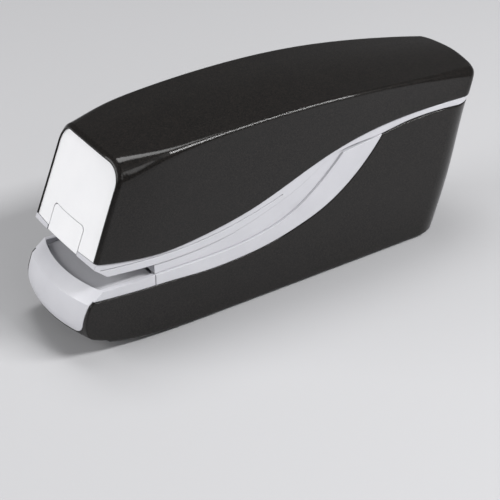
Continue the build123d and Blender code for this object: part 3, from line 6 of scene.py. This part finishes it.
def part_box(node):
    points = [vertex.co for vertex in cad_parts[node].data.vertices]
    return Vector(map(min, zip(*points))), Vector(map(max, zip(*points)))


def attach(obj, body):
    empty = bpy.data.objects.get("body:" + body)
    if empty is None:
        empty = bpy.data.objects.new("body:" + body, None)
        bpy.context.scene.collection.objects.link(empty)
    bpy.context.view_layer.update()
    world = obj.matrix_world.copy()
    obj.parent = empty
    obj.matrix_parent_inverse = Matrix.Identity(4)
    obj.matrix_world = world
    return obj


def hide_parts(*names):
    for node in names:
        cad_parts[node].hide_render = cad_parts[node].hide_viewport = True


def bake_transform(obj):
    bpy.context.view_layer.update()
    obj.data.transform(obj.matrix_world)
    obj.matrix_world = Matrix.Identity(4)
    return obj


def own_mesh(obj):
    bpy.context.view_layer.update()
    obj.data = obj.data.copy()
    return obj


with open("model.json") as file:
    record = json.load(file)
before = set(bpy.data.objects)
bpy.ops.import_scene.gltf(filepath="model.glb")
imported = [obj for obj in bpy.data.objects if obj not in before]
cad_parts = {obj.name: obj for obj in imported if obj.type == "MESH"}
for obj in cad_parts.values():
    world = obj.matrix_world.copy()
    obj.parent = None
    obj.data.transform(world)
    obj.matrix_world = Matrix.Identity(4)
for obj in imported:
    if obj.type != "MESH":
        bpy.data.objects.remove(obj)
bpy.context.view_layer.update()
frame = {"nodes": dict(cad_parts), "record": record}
nodes = frame["nodes"]
MM = 0.001
BEVEL_SAMPLES = 6


# ---------------------------------------------------------------- node helpers
class Graph:
    """A material's node tree with short calls for the nodes that the looks below share."""

    def __init__(self, name):
        self.material = bpy.data.materials.new(name)
        self.material.use_nodes = True
        self.tree = self.material.node_tree
        self.shader = self.tree.nodes["Principled BSDF"]
        self.place = self.add("ShaderNodeTexCoord").outputs["Object"]

    def add(self, kind, **settings):
        node = self.tree.nodes.new(kind)
        for key, value in settings.items():
            setattr(node, key, value)
        return node

    def link(self, source, target):
        self.tree.links.new(source, target)

    def constant(self, **values):
        for key, value in values.items():
            self.shader.inputs[key.replace("_", " ")].default_value = value

    def stretched(self, scale):
        """The position, with each axis scaled, so that a pattern runs along one of them."""
        mapping = self.add("ShaderNodeMapping")
        mapping.inputs["Scale"].default_value = scale
        self.link(self.place, mapping.inputs["Vector"])
        return mapping.outputs["Vector"]

    def noise(self, size, detail=3.0, rough=0.55, place=None):
        """Noise with features of about the given size in metres."""
        node = self.add("ShaderNodeTexNoise")
        node.inputs["Scale"].default_value = 1.0 / size
        node.inputs["Detail"].default_value = detail
        node.inputs["Roughness"].default_value = rough
        self.link(place or self.place, node.inputs["Vector"])
        return node.outputs["Fac"]

    def cells(self, size, output="Color"):
        node = self.add("ShaderNodeTexVoronoi")
        node.inputs["Scale"].default_value = 1.0 / size
        self.link(self.place, node.inputs["Vector"])
        return node.outputs[output]

    def spread(self, source, low, high, from_low=0.3, from_high=0.7):
        """Map the middle of a pattern's range to low..high."""
        node = self.add("ShaderNodeMapRange")
        node.inputs["From Min"].default_value = from_low
        node.inputs["From Max"].default_value = from_high
        node.inputs["To Min"].default_value = low
        node.inputs["To Max"].default_value = high
        self.link(source, node.inputs["Value"])
        return node.outputs["Result"]

    def blend(self, factor, first, second):
        """Mix two colours, each a tuple or another node's output."""
        node = self.add("ShaderNodeMix", data_type="RGBA")
        self.link(factor, node.inputs["Factor"])
        for value, socket in ((first, node.inputs[6]), (second, node.inputs[7])):
            if isinstance(value, tuple):
                socket.default_value = (*value, 1.0)
            else:
                self.link(value, socket)
        return node.outputs[2]

    def round_edges(self, radius):
        """A normal that rounds sharp edges off by the radius."""
        node = self.add("ShaderNodeBevel", samples=BEVEL_SAMPLES)
        node.inputs["Radius"].default_value = radius
        return node.outputs["Normal"]

    def bump(self, height, depth, strength=1.0, normal=None):
        node = self.add("ShaderNodeBump")
        node.inputs["Strength"].default_value = strength
        node.inputs["Distance"].default_value = depth
        self.link(height, node.inputs["Height"])
        if normal is not None:
            self.link(normal, node.inputs["Normal"])
        return node.outputs["Normal"]

    def normal(self, source, coat=None):
        self.link(source, self.shader.inputs["Normal"])
        if coat is not None:
            self.link(coat, self.shader.inputs["Coat Normal"])


FLOW_MARKS = 14 * MM
SHEEN_PATCHES = 5 * MM
SHEEN_CHANGE = 0.12


def moulded(name, colour, shade, roughness, edge=0.25 * MM, grain=0.35 * MM, depth=0.004 * MM,
            coat=0.0, coat_roughness=0.1):
    """Moulded plastic: faint flow marks in the colour, a fine grain and softened edges."""
    g = Graph(name)
    g.link(g.blend(g.spread(g.noise(FLOW_MARKS), 0.0, 1.0), colour, shade),
           g.shader.inputs["Base Color"])
    sheen = g.spread(g.noise(SHEEN_PATCHES),
                     roughness * (1 - SHEEN_CHANGE), roughness * (1 + SHEEN_CHANGE))
    g.link(sheen, g.shader.inputs["Roughness"])
    g.constant(Coat_Weight=coat, Coat_Roughness=coat_roughness)
    g.normal(g.bump(g.noise(grain, detail=2.0), depth, normal=g.round_edges(edge)))
    return g.material


# black lacquer: the sizes of its patterns, the height of its relief, and its colours
FLECK_SIZE = 0.22 * MM
CLOUD_SIZE = 16 * MM
LACQUER_GRAIN = 0.5 * MM
COAT_WAVE = 9 * MM
LACQUER_RELIEF = 0.010 * MM
LACQUER_EDGE = 1.1 * MM
BLACK_GROUND = (0.0024, 0.0023, 0.0022)
BLACK_CLOUD = (0.0034, 0.0032, 0.0031)
PEARL_FLECK = (0.018, 0.015, 0.013)


def black_lacquer(name):
    """Glossy black casing plastic with a fine pearl fleck under a clear surface."""
    g = Graph(name)
    fleck = g.spread(g.cells(FLECK_SIZE), 0.0, 1.0, from_low=0.35, from_high=1.0)
    cloud = g.spread(g.noise(CLOUD_SIZE), 0.0, 1.0)
    ground = g.blend(cloud, BLACK_GROUND, BLACK_CLOUD)
    g.link(g.blend(fleck, ground, PEARL_FLECK), g.shader.inputs["Base Color"])
    g.link(g.spread(g.noise(LACQUER_GRAIN), low=0.30, high=0.42), g.shader.inputs["Roughness"])
    g.constant(Coat_Weight=0.85, Coat_Roughness=0.06, Coat_IOR=1.36, Specular_IOR_Level=0.06)
    edges = g.round_edges(LACQUER_EDGE)
    g.normal(g.bump(fleck, LACQUER_RELIEF, strength=0.5, normal=edges),
             coat=g.bump(g.noise(COAT_WAVE), LACQUER_RELIEF, strength=0.25, normal=edges))
    return g.material


METAL_PATCHES = 6 * MM
POLISH_CHANGE = 0.25


def metal(name, colour, shade, roughness, along=(1.0, 1.0, 1.0), edge=0.12 * MM,
          streak=0.4 * MM, depth=0.002 * MM):
    """Worked metal with fine marks that can run along one axis."""
    g = Graph(name)
    marks = g.noise(streak, detail=4.0, place=g.stretched(along))
    g.link(g.blend(g.spread(g.noise(METAL_PATCHES), 0.0, 1.0), colour, shade),
           g.shader.inputs["Base Color"])
    polish = g.spread(marks, roughness * (1 - POLISH_CHANGE), roughness * (1 + POLISH_CHANGE))
    g.link(polish, g.shader.inputs["Roughness"])
    g.constant(Metallic=1.0)
    g.normal(g.bump(marks, depth, normal=g.round_edges(edge)))
    return g.material


TRACK_SPACING = 2.4 * MM
TRACK_HEIGHT = 0.02 * MM
MASK_GRAIN = 2 * MM
BOARD_EDGE = 0.1 * MM
TRACK_GREEN = (0.020, 0.145, 0.060)
MASK_GREEN = (0.012, 0.095, 0.040)


def board_look(name):
    """Green solder mask over faint copper tracks."""
    g = Graph(name)
    track = g.spread(g.cells(TRACK_SPACING, "Distance"), 0.0, 1.0, from_low=0.30, from_high=0.36)
    g.link(g.blend(track, TRACK_GREEN, MASK_GREEN), g.shader.inputs["Base Color"])
    g.link(g.spread(g.noise(MASK_GRAIN), low=0.22, high=0.34), g.shader.inputs["Roughness"])
    g.normal(g.bump(track, TRACK_HEIGHT, normal=g.round_edges(BOARD_EDGE)))
    return g.material


# battery jacket: how far its bare cap and its copper band reach from the raised end
CAP_LENGTH = 1.4 * MM
CAP_BLUR = 0.05 * MM
BAND_SHARE = 0.30
BAND_BLUR = 0.1 * MM
BARE_CAP = (0.62, 0.62, 0.62)
COPPER_BAND = (0.56, 0.30, 0.15)
DARK_WRAP = (0.022, 0.023, 0.027)
JACKET_PATCHES = 3 * MM
JACKET_GRAIN = 0.8 * MM
JACKET_RELIEF = 0.002 * MM


def jacket_look(name):
    """Battery jacket: a copper-coloured end band on a dark wrap, without lettering."""
    g = Graph(name)
    low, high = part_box("battery_1")
    parts = g.add("ShaderNodeSeparateXYZ")
    g.link(g.place, parts.inputs["Vector"])
    # all four cells lie along Y with the raised end at the low end, so one look fits them all
    band_end = low[1] + BAND_SHARE * (high[1] - low[1])
    cap_end = low[1] + CAP_LENGTH
    band = g.spread(parts.outputs["Y"], 0.0, 1.0, band_end - BAND_BLUR, band_end + BAND_BLUR)
    cap = g.spread(parts.outputs["Y"], 0.0, 1.0, cap_end - CAP_BLUR, cap_end + CAP_BLUR)
    wrap = g.blend(band, COPPER_BAND, DARK_WRAP)
    g.link(g.blend(cap, BARE_CAP, wrap), g.shader.inputs["Base Color"])
    g.link(g.spread(g.noise(JACKET_PATCHES), low=0.26, high=0.36), g.shader.inputs["Roughness"])
    g.constant(Metallic=0.75, Coat_Weight=0.4, Coat_Roughness=0.12)
    g.normal(g.bump(g.noise(JACKET_GRAIN), JACKET_RELIEF))
    return g.material


# ---------------------------------------------------------------- looks of the CAD nodes
looks = {
    "black_gloss": black_lacquer("black_lacquer"),
    "white_gloss": moulded("white_plate", colour=(0.80, 0.80, 0.81), shade=(0.77, 0.77, 0.785),
                           roughness=0.24, edge=0.3 * MM, depth=0.001 * MM,
                           coat=0.5, coat_roughness=0.06),
    "silver_plastic": moulded("silver_plastic", colour=(0.53, 0.53, 0.56),
                              shade=(0.50, 0.50, 0.53), roughness=0.36,
                              edge=0.3 * MM, depth=0.003 * MM, coat=0.15, coat_roughness=0.2),
    "grey_plastic": moulded("grey_plastic", colour=(0.46, 0.46, 0.48),
                            shade=(0.43, 0.43, 0.45), roughness=0.5),
    "dark_plastic": moulded("dark_plastic", colour=(0.030, 0.030, 0.033),
                            shade=(0.024, 0.024, 0.026), roughness=0.45),
    "white_nylon": moulded("white_nylon", colour=(0.74, 0.72, 0.66), shade=(0.70, 0.68, 0.61),
                           roughness=0.42, edge=0.1 * MM),
    "steel": metal("sheet_steel", colour=(0.50, 0.50, 0.52), shade=(0.44, 0.44, 0.46),
                   roughness=0.34, along=(1.0, 0.08, 1.0)),
    "bright_steel": metal("bright_steel", colour=(0.66, 0.66, 0.68), shade=(0.60, 0.60, 0.62),
                          roughness=0.16),
    "spring_steel": metal("spring_wire", colour=(0.42, 0.42, 0.44), shade=(0.36, 0.36, 0.38),
                          roughness=0.26),
    "brass": metal("turned_brass", colour=(0.72, 0.50, 0.20), shade=(0.64, 0.43, 0.16),
                   roughness=0.22),
    "rubber": moulded("foot_rubber", colour=(0.022, 0.022, 0.022), shade=(0.030, 0.030, 0.029),
                      roughness=0.78, grain=0.2 * MM, depth=0.010 * MM),
    "board_green": board_look("solder_mask"),
    "cell_jacket": jacket_look("cell_jacket"),
}

for entry in frame["record"]["subparts"]:
    node = nodes[entry["node"]]
    node.data.materials.clear()
    node.data.materials.append(looks[entry["material_slot"]])


# ---------------------------------------------------------------- copies of the springs
def springy(name, node_name):
    """A copy of a CAD spring, shown in its place while the CAD node is hidden."""
    spring = bpy.data.objects.new(name, nodes[node_name].data.copy())
    bpy.context.scene.collection.objects.link(spring)
    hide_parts(node_name)
    return spring


# the pusher's spring copy hangs on the magazine's body and gets a mesh of its own
pusher_coil = springy("pusher_coil", "pusher_spring")
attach(pusher_coil, "magazine")
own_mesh(pusher_coil)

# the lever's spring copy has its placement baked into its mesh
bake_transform(springy("lever_coil", "lever_spring"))


# ---------------------------------------------------------------- stage
FLOOR_SIZE = 6.0
FLOOR_COLOUR = (0.40, 0.40, 0.41, 1.0)
FLOOR_ROUGHNESS = 0.6
WORLD_COLOUR = (0.82, 0.82, 0.84, 1.0)
WORLD_STRENGTH = 0.16

floor_look = Graph("floor_paper")
floor_look.constant(Base_Color=FLOOR_COLOUR, Roughness=FLOOR_ROUGHNESS)
bpy.ops.mesh.primitive_plane_add(size=FLOOR_SIZE, location=(0, 0, 0))
floor = bpy.context.object
floor.name = "floor"
floor.data.materials.append(floor_look.material)

world = bpy.data.worlds.new("studio")
world.use_nodes = True
background = world.node_tree.nodes["Background"]
background.inputs["Color"].default_value = WORLD_COLOUR
background.inputs["Strength"].default_value = WORLD_STRENGTH
bpy.context.scene.world = world
bpy.context.scene.view_settings.view_transform = "Standard"


def softbox(name, place, aim, width, height, power, along=(0, 0, 1)):
    """A rectangular lamp at place that faces aim, with its height running along a direction."""
    lamp = bpy.data.lights.new(name, "AREA")
    lamp.shape = "RECTANGLE"
    lamp.size = width
    lamp.size_y = height
    lamp.energy = power
    back = (Vector(place) - Vector(aim)).normalized()
    side = Vector(along).cross(back).normalized()
    turn = Matrix((side, back.cross(side), back)).transposed()
    box = bpy.data.objects.new(name, lamp)
    box.matrix_world = Matrix.Translation(place) @ turn.to_4x4()
    bpy.context.scene.collection.objects.link(box)


softbox("crease_strip", place=(0.60, 0.46, 0.77), aim=(0, 0, 0.07),
        width=0.16, height=0.60, power=14.0, along=(0, 1, 0))
softbox("overhead", place=(-0.25, 0.15, 1.1), aim=(0, 0, 0.05),
        width=0.5, height=0.5, power=5.5)
softbox("front_fill", place=(-0.30, -0.95, 0.50), aim=(0, -0.05, 0.05),
        width=0.8, height=0.6, power=9.5)
softbox("side_fill", place=(1.3, -0.25, 0.75), aim=(0, 0, 0.04),
        width=0.6, height=0.6, power=3.0)

# ---------------------------------------------------------------- camera
CAMERA_PLACE = Vector((0.5653, -0.3817, 0.4498))
CAMERA_BACK = Vector((0.6965, -0.4650, 0.5465))
SENSOR_WIDTH = 36.0
FOCAL_LENGTH = 144.0
lens = bpy.data.cameras.new("camera")
lens.sensor_width = SENSOR_WIDTH
lens.lens = FOCAL_LENGTH
camera = bpy.data.objects.new("camera", lens)
camera.location = CAMERA_PLACE
camera.rotation_euler = CAMERA_BACK.to_track_quat("Z", "Y").to_euler()
bpy.context.scene.collection.objects.link(camera)
bpy.context.scene.camera = camera
